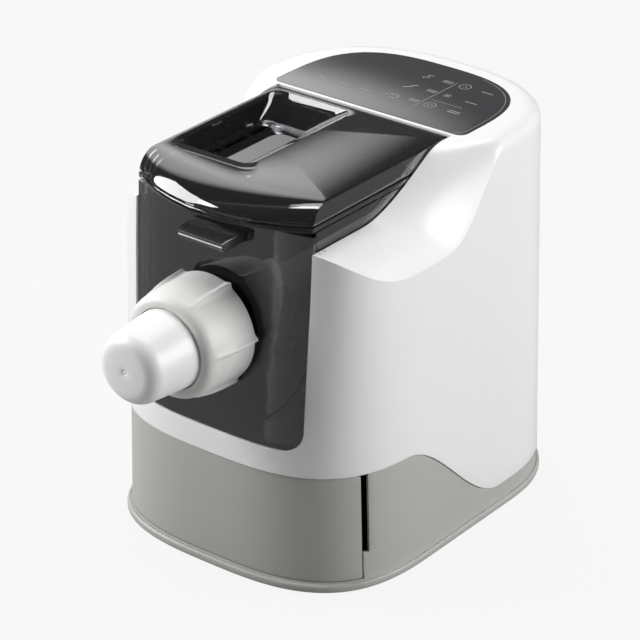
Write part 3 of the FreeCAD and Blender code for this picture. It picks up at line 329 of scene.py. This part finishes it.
def white_shell():
    """Points and faces of the shell's outer skin: side and crest, then the strip under the window."""
    nose = np.linspace(0.0, 1.0, 56)
    rest = np.concatenate([np.linspace(1.0, 2.0, 84)[1:], np.linspace(2.0, 3.0, 60)[1:]])
    columns = len(nose) + len(rest)
    sill, sill_half, sill_corner, opening_rear = 99.0, 65.9, 13.0, 59.9

    def station(z):
        """Stations of all columns at the heights z, starting on the window's edge."""
        width = np.clip(sill_half + 1.9 * (z - sill) / 101.0, sill_half, window_half)
        start = at_width(width, z)
        front = start[..., None] + (1.0 - start[..., None]) * nose
        return np.concatenate([front, np.broadcast_to(rest, front.shape[:-1] + rest.shape)], axis=-1)

    ends = station(np.array([230.0]))[0]
    bottom = seam(shell_plan(ends, seam_height)[1])
    low, high = np.full(columns, 170.0), np.full(columns, crown_edge)
    for _ in range(40):
        z = (low + high) / 2.0
        s = np.diagonal(station(z))
        x, y = shell_plan(s, z)
        under = top_height(x, y, 0.0) > z
        low, high = np.where(under, z, low), np.where(under, high, z)
    crest = (low + high) / 2.0
    knee = np.full(columns, 112.0)
    rises = [bottom + (knee - bottom) * t for t in np.linspace(0.0, 1.0, 12)]
    rises += [knee + (crest - knee) * t for t in 1.0 - (1.0 - np.linspace(0.0, 1.0, 44)[1:]) ** 1.5]
    points = []
    for z in rises:
        x, y = shell_plan(np.diagonal(station(z)), z)
        points.append(np.stack([x, y, z if points else np.maximum(z, seam(y))], axis=-1))
    s = np.diagonal(station(crest))
    corner = 1.0 + opening_rear / side_length
    inner_x = window_half * (1.0 - np.clip((s - corner) / (3.0 - corner), 0.0, 1.0))
    for inset in crest_round * (1.0 - np.cos(np.linspace(0.0, math.pi / 2.0, 9)[1:])):
        x, y = shell_plan(s, crest, inset)
        x = np.maximum(x, np.minimum(inner_x, points[-1][:, 0]))
        points.append(np.stack([x, y, top_height(x, y, inset)], axis=-1))
    last_x, last_y = points[-1][:, 0], points[-1][:, 1]
    for t in np.linspace(0.0, 1.0, 30)[1:]:
        x = last_x + (np.minimum(inner_x, last_x) - last_x) * t
        y = last_y + (np.minimum(last_y, opening_rear) - last_y) * t
        points.append(np.stack([x, y, top_height(x, y, crest_round)], axis=-1))
    grid = np.array(points)
    strip = []
    flat = sill_half - sill_corner
    across = flat + sill_corner * np.sin(np.linspace(0.0, math.pi / 2.0, 9))
    across = np.concatenate([np.linspace(0.0, flat, 20)[:-1], across])
    past = np.maximum(across - flat, 0.0)
    arc = sill + sill_corner - np.sqrt(np.maximum(sill_corner ** 2 - past ** 2, 0.0))
    for t in np.linspace(0.0, 1.0, 12):
        z = seam_height + (arc - seam_height) * t
        x, y = shell_plan(at_width(across, z), z)
        strip.append(np.stack([x, y, z], axis=-1))
    strip = np.array(strip)
    strip[:, -1] = grid[:12, 0]
    faces = grid_faces(grid.shape[0], columns)
    faces += grid_faces(strip.shape[0], len(across), start=grid.shape[0] * columns)
    right = np.concatenate([grid.reshape(-1, 3), strip.reshape(-1, 3)])
    left = right * np.array([-1.0, 1.0, 1.0])
    faces += [tuple(len(right) + i for i in reversed(f)) for f in faces]
    return np.concatenate([right, left]), faces


def welded(piece, distance=0.00003):
    """Joins points that coincide and turns all faces outwards."""
    work = bmesh.new()
    work.from_mesh(piece.data)
    bmesh.ops.remove_doubles(work, verts=work.verts, dist=distance)
    bmesh.ops.recalc_face_normals(work, faces=work.faces)
    work.to_mesh(piece.data)
    work.free()
    return piece


points, faces = white_shell()
shell = welded(shape("white_shell", points, faces, "white_shell", "root", "main_housing"))
rework(shell, [("SOLIDIFY", {"thickness": 0.0026, "offset": -1.0, "use_even_offset": True}),
               ("BEVEL", {"width": 0.0006, "segments": 3, "limit_method": "ANGLE", "angle_limit": math.radians(50.0)})])


# Grey base: satin ABS skirt that flares into a rounded rim, open at the front for the drawer.
# The rows run up the rim, the flare and the skirt to the seam, then step in behind the white shell.
def mirrored(points, faces):
    """Adds the left half of a drawing of the right half."""
    right = np.asarray(points, dtype=float).reshape(-1, 3)
    left = right * np.array([-1.0, 1.0, 1.0])
    return np.concatenate([right, left]), faces + [tuple(len(right) + i for i in reversed(f)) for f in faces]


def skirt_plan(s, z, extra=0.0):
    """The base's skirt in plan, which leans in as it rises."""
    return plan(s, 102.8 - 0.031 * z - extra, 94.2 - extra, 85.8 - extra, 3.0)


def rim_plan(s, inset):
    """The base's rim in plan."""
    return plan(s, 105.0 - inset, 97.6 - inset, 89.0 - inset, 3.0)


def station_at(width, curve):
    """The station on the nose where a plan curve is that far from the middle."""
    low, high = 0.0, 1.0
    for _ in range(40):
        middle = (low + high) / 2.0
        low, high = (low, middle) if curve(middle)[0] > width else (middle, high)
    return (low + high) / 2.0


seam_gap = 0.35
ledge = 28.0


def grey_base():
    """Points and faces of the base's outer skin, with the drawer's opening and the slot beside it."""
    slot_side = station_at(92.4, lambda s: skirt_plan(s, 40.0))
    slot_end = station_at(94.2, lambda s: skirt_plan(s, 40.0))
    front = np.linspace(0.0, slot_side, 60)[:-1]
    notch = np.linspace(slot_side, slot_end, 5)[:-1]
    rear = np.concatenate([np.linspace(slot_end, 1.0, 14)[:-1], np.linspace(1.0, 2.0, 50)[:-1],
                           np.linspace(2.0, 3.0, 60)])
    ring = np.concatenate([front, notch, rear])
    rows = []
    for z, inset in ((6.4, 6.0), (4.2, 5.6), (4.0, 4.8), (4.0, 1.4), (4.25, 0.7), (4.8, 0.2), (5.6, 0.0), (7.7, 0.0),
                     (8.5, 0.2), (9.0, 0.6), (9.35, 1.1)):
        x, y = rim_plan(ring, inset)
        rows.append(np.stack([x, y, np.full(ring.shape, z)], axis=-1))
    for z, extra in ((9.3, -1.0), (9.0, -0.8), (9.3, -0.6), (10.2, -0.5)):
        x, y = skirt_plan(ring, z, extra)
        rows.append(np.stack([x, y, np.full(ring.shape, z)], axis=-1))
    points = [np.array(rows)]
    faces = grid_faces(len(rows), len(ring))
    count = len(rows) * len(ring)
    side = np.concatenate([notch, rear])
    rows = []
    for z, extra in ((10.2, -0.5), (12.0, -0.25), (14.0, -0.08), (16.0, 0.0), (20.0, 0.0), (ledge, 0.0)):
        z = np.minimum(z, seam(skirt_plan(side, z, extra)[1]) - seam_gap)
        x, y = skirt_plan(side, z, extra)
        rows.append(np.stack([x, y, np.broadcast_to(z, side.shape)], axis=-1))
    points.append(np.array(rows))
    faces += grid_faces(len(rows), len(side), start=count)
    count += len(rows) * len(side)
    rows = []
    for share in np.linspace(0.0, 1.0, 18):
        top = seam(skirt_plan(rear, ledge)[1]) - seam_gap
        z = np.minimum(ledge, top) + (top - np.minimum(ledge, top)) * share
        x, y = skirt_plan(rear, z)
        rows.append(np.stack([x, y, z], axis=-1))
    skirt_top = rows[-1][:, 1]
    for lift, inset in ((-0.3, 2.9), (3.0, 2.9), (6.5, 2.9)):
        z = seam(skirt_top) + lift
        x, y = shell_plan(rear, z, inset)
        rows.append(np.stack([x, y, z], axis=-1))
    points.append(np.array(rows))
    faces += grid_faces(len(rows), len(rear), start=count)
    return mirrored(np.concatenate([p.reshape(-1, 3) for p in points]), faces)


points, faces = grey_base()
base = welded(shape("grey_base", points, faces, "grey_base", "root", "base_housing"))
rework(base, [("SOLIDIFY", {"thickness": 0.0022, "offset": -1.0}),
              ("BEVEL", {"width": 0.0004, "segments": 2, "limit_method": "ANGLE", "angle_limit": math.radians(50.0)})])


# Drawer front: a curved satin ABS panel that closes the base's front, with rounded edges all round.
# It is screwed to the tray behind it and slides out with it.
def drawer_panel():
    """Points and faces of the drawer's outer face, with its upper corners rounded."""
    drawer_half, drawer_low, drawer_top, corner = 92.0, 10.6, 82.2, 4.2
    edge = station_at(drawer_half, lambda s: skirt_plan(s, 40.0))
    ring = np.concatenate([np.linspace(0.0, edge - 0.03, 80)[:-1], np.linspace(edge - 0.03, edge, 24)])
    rows = []
    away = np.clip(corner - (drawer_half - skirt_plan(ring, drawer_top)[0]), 0.0, corner)
    top = drawer_top - (corner - np.sqrt(np.maximum(corner ** 2 - away ** 2, 0.0)))
    for share in np.linspace(0.0, 1.0, 24):
        z = drawer_low + (top - drawer_low) * share
        x, y = skirt_plan(ring, z)
        rows.append(np.stack([x, y, z], axis=-1))
    return mirrored(np.array(rows), grid_faces(len(rows), len(ring)))


points, faces = drawer_panel()
drawer = welded(shape("drawer_panel", points, faces, "grey_base", "drawer", "drawer_front"))
rework(drawer, [("SOLIDIFY", {"thickness": 0.003, "offset": -1.0}),
                ("BEVEL", {"width": 0.0009, "segments": 3, "limit_method": "ANGLE",
                           "angle_limit": math.radians(50.0)})])


# Hinged lid: clear smoked polycarbonate with a rounded nose, a grooved lip and a filling trough with three slots.
# Rings run up the nose, across the flat top and down the trough; the sheet is thickened and the slots are cut.
def round_rectangle(x0, x1, y0, y1, radius, angles):
    """Points of a rounded rectangle in the given directions from its middle."""
    cx, cy, hx, hy = (x0 + x1) / 2.0, (y0 + y1) / 2.0, (x1 - x0) / 2.0, (y1 - y0) / 2.0
    low, high = np.zeros(len(angles)), np.full(len(angles), 200.0)
    for _ in range(40):
        r = (low + high) / 2.0
        px, py = np.abs(r * np.cos(angles)), np.abs(r * np.sin(angles))
        out = np.hypot(np.maximum(px - hx + radius, 0.0), np.maximum(py - hy + radius, 0.0))
        over = (out > radius) | (px > hx) | (py > hy)
        low, high = np.where(over, low, r), np.where(over, r, high)
    return cx + low * np.cos(angles), cy + low * np.sin(angles)


def lid_ring(share, inset):
    """The lid in plan, clockwise from the right rear corner; share is 1 at the lip and 0 at the flat top."""
    half = 65.8 + 1.1 * share - inset
    corner = 60.5 + 15.5 * share - inset
    front = 70.0 + 26.5 * share - inset
    rear = 56.3 - inset
    centre = (half * half + corner * corner - front * front) / (2.0 * (corner - front))
    radius = front - centre
    swing = math.asin(half / radius)
    side = np.linspace(0.0, 1.0, 26)[:-1]
    turn = np.linspace(swing, -swing, 90)[:-1]
    x = [np.full(25, half), radius * np.sin(turn), np.full(25, -half), -half + 2.0 * half * np.linspace(0, 1, 41)[:-1]]
    y = [rear - (rear + corner) * side, -centre - radius * np.cos(turn), -corner + (rear + corner) * side,
         np.full(40, rear)]
    return np.concatenate(x), np.concatenate(y)


def lid_sheet():
    """Points and faces of the lid's outer face, from its lip over the nose and down into the trough."""
    rows = []
    for turn, inset in ((0.0, 0.9), (0.5, 0.3), (1.6, 0.0), (10.0, 0.0), (12.0, 0.2), (13.0, 1.0), (15.0, 1.0),
                        (16.0, 0.3), (18.0, 0.0), (24.0, 0.0), (30.0, 0.0), (36.0, 0.0), (43.0, 0.0), (50.0, 0.0),
                        (57.0, 0.0), (64.0, 0.0), (71.0, 0.0), (78.0, 0.1), (84.0, 0.25), (90.0, 0.6)):
        x, y = lid_ring(math.cos(math.radians(turn)), inset)
        rows.append((x, y, 242.0 + 16.5 * math.sin(math.radians(turn)) + 0.0 * x))
    x, y = rows[-1][0], rows[-1][1]
    angles = np.arctan2(y - 1.0, x + 31.75)
    basin = ((-62.6, -0.9, -50.6, 52.6, 8.6, 258.5), (-62.2, -1.3, -50.2, 52.2, 8.2, 258.35),
             (-62.0, -1.5, -50.0, 52.0, 8.0, 258.0), (-60.7, -13.0, -45.5, 45.0, 6.5, 251.0),
             (-59.4, -24.6, -41.1, 37.7, 5.0, 243.8), (-59.0, -25.2, -40.7, 37.3, 4.6, 243.5),
             (-58.4, -25.8, -40.1, 36.7, 4.0, 243.5))
    for x0, x1, y0, y1, radius, z in basin:
        x, y = round_rectangle(x0, x1, y0, y1, radius, angles)
        rows.append((x, y, z + 0.0 * x))
    points = np.array([np.stack(row, axis=-1) for row in rows])
    columns = points.shape[1]
    faces = grid_faces(len(rows), columns, closed=True)
    first = (len(rows) - 1) * columns
    return points.reshape(-1, 3), faces + [tuple(range(first, first + columns))]


def cutter(name, x0, x1, y0, y1, z0, z1):
    """A block that is only used to cut another piece."""
    corners = [(x, y, z) for z in (z0, z1) for x, y in ((x0, y0), (x1, y0), (x1, y1), (x0, y1))]
    faces = [(3, 2, 1, 0), (4, 5, 6, 7), (0, 1, 5, 4), (1, 2, 6, 5), (2, 3, 7, 6), (3, 0, 4, 7)]
    mesh = bpy.data.meshes.new(name)
    mesh.from_pydata(placed(corners), [], faces)
    block = bpy.data.objects.new(name, mesh)
    scene.collection.objects.link(block)
    return block


def turned(name, profile, slot, body, node=None, columns=160, centre=(0.0, 168.0), bulge=None, crease=35.0):
    """A piece turned about an axis along Y: profile lists (radius, y); bulge adds to the radius by angle and row."""
    turn = np.linspace(0.0, 2.0 * math.pi, columns + 1)[:-1]
    rows = []
    for i, (radius, y) in enumerate(profile):
        r = radius + (bulge(turn, radius, y, i) if bulge else 0.0 * turn)
        rows.append(np.stack([centre[0] + r * np.cos(turn), y + 0.0 * turn, centre[1] + r * np.sin(turn)], axis=-1))
    return welded(shape(name, np.array(rows).reshape(-1, 3), grid_faces(len(rows), columns, closed=True), slot, body,
                        node, crease))


points, faces = lid_sheet()
lid = welded(shape("lid_shell", points, faces, "smoked_plastic", "lid", "lid"))
finish["lid_plastic"] = smoked("smoked_polycarbonate_lid", "D2D2D4", 0.03)
lid.data.materials[0] = finish["lid_plastic"]
rework(lid, [("SOLIDIFY", {"thickness": 0.0022, "offset": -1.0, "use_even_offset": True})])
for y in (-28.0, -2.0, 24.0):
    block = cutter("slot_cutter", -55.0, -50.0, y - 11.0, y + 11.0, 238.0, 246.0)
    rework(lid, [("BOOLEAN", {"object": block, "operation": "DIFFERENCE", "solver": "EXACT"})])
    bpy.data.objects.remove(block)
for number, x in enumerate((-28.2, 25.8)):
    y = -96.2 + x * x / 110.0
    points = [(x + dx, y + dy - 0.4, 245.6 + dz) for dz in (0.0, 1.2)
              for dx, dy in ((0, 0), (5.5, 0), (5.5, 1.2), (0, 1.2))]
    tab = shape("lid_catch_%d" % (number + 1), points, [(3, 2, 1, 0), (4, 5, 6, 7), (0, 1, 5, 4), (1, 2, 6, 5),
                                                       (2, 3, 7, 6), (3, 0, 4, 7)], "seal_silicone", "lid")
    rework(tab, [("BEVEL", {"width": 0.0002, "segments": 2})])
hinge_y, hinge_z = 56.3, 255.3
barrel = [(0.0, -65.6), (2.9, -65.6), (3.15, -65.3), (3.15, 65.3), (2.9, 65.6), (0.0, 65.6)]
points, faces = [], grid_faces(len(barrel), 40, closed=True)
for radius, x in barrel:
    for i in range(40):
        a = 2.0 * math.pi * i / 40
        points.append((x, hinge_y + radius * math.cos(a), hinge_z + radius * math.sin(a)))
welded(shape("lid_hinge_barrel", points, faces, "smoked_plastic", "lid"))


# Control glass: one dark acrylic sheet let into the deck, printed on its face with plain marks.
# The marks are thin ink: bars for the labels, and simple icons at the touch places.
def glass_edge(inset, count=48):
    """The D of the control glass: straight front, rounded back."""
    half, y0, r = 74.0 - inset, 62.5 + inset, 6.0
    points = [(half, 80.0), (half, y0 + r)]
    points += [(half - r + r * math.cos(a), y0 + r - r * math.sin(a)) for a in np.linspace(0.0, math.pi / 2.0, 10)[1:]]
    points += [(-x, y) for x, y in reversed(points)]
    turn = np.linspace(math.pi, 0.0, count)[1:-1]
    k = (np.abs(np.cos(turn)) ** 2.9 + np.abs(np.sin(turn)) ** 2.9) ** (-1.0 / 2.9)
    points += [(half * c * m, 80.0 + (69.4 - inset) * n * m) for c, n, m in zip(np.cos(turn), np.sin(turn), k)]
    return points


rings = [(0.0, 257.5), (0.0, 258.45), (0.12, 258.6), (0.35, 258.64)]
edge = glass_edge(0.0)
points = [(x, y, z) for inset, z in rings for x, y in glass_edge(inset)]
faces = grid_faces(len(rings), len(edge), closed=True)
faces.append(tuple(range((len(rings) - 1) * len(edge), len(rings) * len(edge))))
faces.append(tuple(range(len(edge) - 1, -1, -1)))
shape("control_glass", points, faces, "panel_glass", "root", "control_glass", crease=60.0)
recess = [(x, y, z) for z in (257.5, 262.0) for x, y in glass_edge(-0.25)]
block = shape("recess_cutter", recess, grid_faces(2, len(edge), closed=True) + [
    tuple(range(len(edge), 2 * len(edge))), tuple(range(len(edge) - 1, -1, -1))], "white_shell", "root")
welded(block)
rework(shell, [("BOOLEAN", {"object": block, "operation": "DIFFERENCE", "solver": "EXACT"})], crease=30.0)
bpy.data.objects.remove(block)

finish["grey_ink"] = surface("pale_grey_ink", "8E8E8B", 0.5, grain=0.4)


def stroke(path, width):
    """A flat band along a path of (x, y) points."""
    points, faces = [], []
    for i, (x, y) in enumerate(path):
        before, after = path[max(i - 1, 0)], path[min(i + 1, len(path) - 1)]
        dx, dy = after[0] - before[0], after[1] - before[1]
        long = math.hypot(dx, dy) or 1.0
        points += [(x - dy / long * width / 2, y + dx / long * width / 2, 258.68),
                   (x + dy / long * width / 2, y - dx / long * width / 2, 258.68)]
        if i:
            faces.append((2 * i - 2, 2 * i - 1, 2 * i + 1, 2 * i))
    return points, faces


def circle(x, y, radius, start=0.0, end=360.0):
    """Points on a circle or an arc, with its angles in degrees from the rear."""
    return [(x + radius * math.sin(math.radians(a)), y + radius * math.cos(math.radians(a)))
            for a in np.linspace(start, end, 30)]


marks = [([(x - 3.6, 85.0), (x + 3.6, 85.0)], 1.0) for x in (-52.0, -34.8, -17.2)]
marks += [([(x - 4.4, y), (x + 4.4, y)], 0.9) for x, y in ((46.5, 127.8), (47.6, 108.6), (47.6, 91.2), (47.6, 89.0))]
marks += [([(x - 3.6, y + d), (x + 3.6, y + d)], 0.9) for x, y in ((16.2, 127.5), (17.0, 109.2), (16.8, 90.4))
          for d in (1.2, -1.0)]
marks += [([(22.0, 82.0), (22.0, 130.0)], 0.5), ([(25.4, 98.2), (48.0, 98.2)], 0.4)]
marks += [(circle(29.3, 128.0, 3.9), 0.55), (circle(29.2, 90.4, 3.9), 0.55)]
marks += [(circle(29.2, 90.4, 1.7, 40.0, 320.0), 0.5), ([(29.2, 90.4), (29.2, 92.8)], 0.5)]
marks += [([(27.9, 126.6), (29.3, 129.9), (30.7, 126.6)], 0.5)]
marks += [([(29.0 - 3.0 * c, 109.2 - 3.0 * n), (29.0 + 3.0 * c, 109.2 + 3.0 * n)], 0.6)
          for c, n in ((math.cos(a), math.sin(a)) for a in (0.35, 1.4, 2.45))]
marks += [([(3.4, 130.6), (0.0, 129.2), (2.2, 126.8), (-1.6, 125.2), (-0.2, 123.8)], 1.1)]
marks += [([(4.6, 111.4), (1.2, 108.4), (2.6, 107.4), (-1.8, 104.2)], 1.2)]
marks += [(circle(-0.6, 88.6, 2.3, 170.0, 400.0), 0.8), (circle(3.2, 88.2, 2.6, -60.0, 180.0), 0.8),
          ([(-1.6, 86.3), (3.2, 85.7)], 0.8)]
border = [p for p in glass_edge(2.6) if p[0] > 30.0 and p[1] > 57.0]
marks += [(sorted(border, key=lambda p: -math.atan2(p[1] - side_length, p[0])), 0.35)]
points, faces = [], []
for path_points, width in marks:
    some, joined = stroke(path_points, width)
    faces += [tuple(len(points) + i for i in f) for f in joined]
    points += some
shape("panel_marks", points, faces, "grey_ink", "root")["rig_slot"] = "panel_glass"


# Clamp nut: off-white acetal with six swept ribs outside and a four-start thread inside.
# The cap is a thin hollow cone of the same material with a rounded end and a small dimple.
def thread(turn, radius, y, depth):
    """Rise of a right-hand four-start thread of 12 mm lead, between 0 and depth."""
    phase = (y / 3.0 + 4.0 * turn / (2.0 * math.pi)) % 1.0
    return depth * np.clip(1.6 - 4.0 * np.abs(phase - 0.5), 0.0, 1.0)


def nut_bulge(turn, radius, y, row):
    """Six ribs, steep on one side, on the outer rows, and the thread on the rows of the bore."""
    if row < nut_outer:
        off = (np.degrees(turn) - 3.0 + 30.0) % 60.0 - 30.0
        slope = 0.5 * np.exp(-(off / 2.6) ** 2) + 0.5 * np.exp(-off / 6.0)
        crest = np.where(off < 0.0, np.exp(-(off / 1.7) ** 2), slope)
        fade = np.clip((y + 127.0) / 24.0, 0.0, 1.0) ** 0.7
        return fade * (1.9 * crest - 1.1 * (1.0 - crest) * np.clip(np.abs(off) / 5.0, 0.0, 1.0))
    if -110.5 < y < -91.4 and radius > 29.0:
        return thread(turn, radius, y, 0.6)
    return 0.0 * turn


quarter = np.linspace(0.0, math.pi / 2.0, 14)[1:]
outer = [(30.6, -90.9), (35.6, -90.9), (36.1, -91.2), (36.2, -91.8)]
outer += [(36.2 - 0.8 * t, -92.5 - 19.5 * t) for t in np.linspace(0.0, 1.0, 14)]
outer += [(35.4 - 1.2 * t ** 1.4, -112.0 - 9.0 * t) for t in np.linspace(0.0, 1.0, 8)[1:]]
outer += [(34.2 - 5.6 * (1.0 - math.cos(a)), -121.0 - 9.7 * math.sin(a)) for a in quarter]
nut_outer = len(outer)
outer += [(26.4, -130.7), (26.15, -130.5), (26.1, -130.0), (26.1, -127.3), (27.3, -127.3), (27.3, -111.0),
          (30.18, -111.0)]
outer += [(30.18, y) for y in np.linspace(-110.6, -91.4, 60)]
outer += [(30.3, -91.1), (30.6, -90.9)]
turned("clamp_nut", outer, "nut_plastic", "nut", "clamp_nut", columns=300, bulge=nut_bulge, crease=50.0)
finish["cap_plastic"] = surface("white_acetal_cap", "EDEDEC", 0.4, coat=0.1, grain=0.7, depth=0.01)
cap = [(23.6, -127.3), (25.2, -127.3), (25.6, -127.6), (25.75, -128.2)]
cap += [(25.7 - 2.5 * t, -129.0 - 28.5 * t) for t in np.linspace(0.0, 1.0, 12)]
cap += [(12.2 + 11.0 * math.cos(a) ** 0.85, -157.5 - 10.9 * math.sin(a) ** 0.9)
        for a in np.linspace(0.0, math.pi / 2.0, 18)[1:-1]]
cap += [(11.0, -168.55), (7.0, -168.75), (2.6, -168.8), (1.9, -168.65), (1.4, -168.3), (0.7, -168.5), (0.0, -168.55)]
cap += [(0.0, -165.6), (15.0, -165.4), (20.0, -159.5), (23.6, -127.3)]
turned("end_cap", cap, "cap_plastic", "cap", "end_cap", columns=180, crease=50.0)["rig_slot"] = "nut_plastic"


# Finger grip under the lid: smoked polycarbonate with slanted ends and fine ribs along its front.
# Its section is swept across, narrowing towards the front.
section = [(-80.5, 231.6), (-95.5, 230.4), (-97.2, 229.8), (-98.6, 229.3), (-98.0, 228.7), (-98.9, 228.0),
           (-98.2, 227.4), (-98.8, 226.7), (-98.1, 226.1), (-98.4, 225.4), (-97.7, 224.8), (-97.6, 224.1),
           (-96.8, 223.5), (-81.0, 226.2)]
spread = (-1.0, -0.985, -0.9, -0.45, 0.0, 0.45, 0.9, 0.985, 1.0)
points = []
for x in spread:
    for y, z in section:
        reach = 20.6 - 3.6 * (-80.5 - y) / 18.0
        fall = 0.35 if abs(x) == 1.0 else 0.0
        points.append((x * reach, y + fall, z + (fall if z < 227.0 else -fall)))
faces = grid_faces(len(spread), len(section), closed=True)
last = (len(spread) - 1) * len(section)
faces += [tuple(range(len(section) - 1, -1, -1)), tuple(range(last, last + len(section)))]
grip = welded(shape("panel_grip", points, faces, "smoked_plastic", "front_unit", "panel_grip", crease=25.0))
grip.data.materials[0] = surface("ribbed_smoked_polycarbonate", "3C3C3E", 0.22, coat=0.7, grain=0.9, depth=0.005)
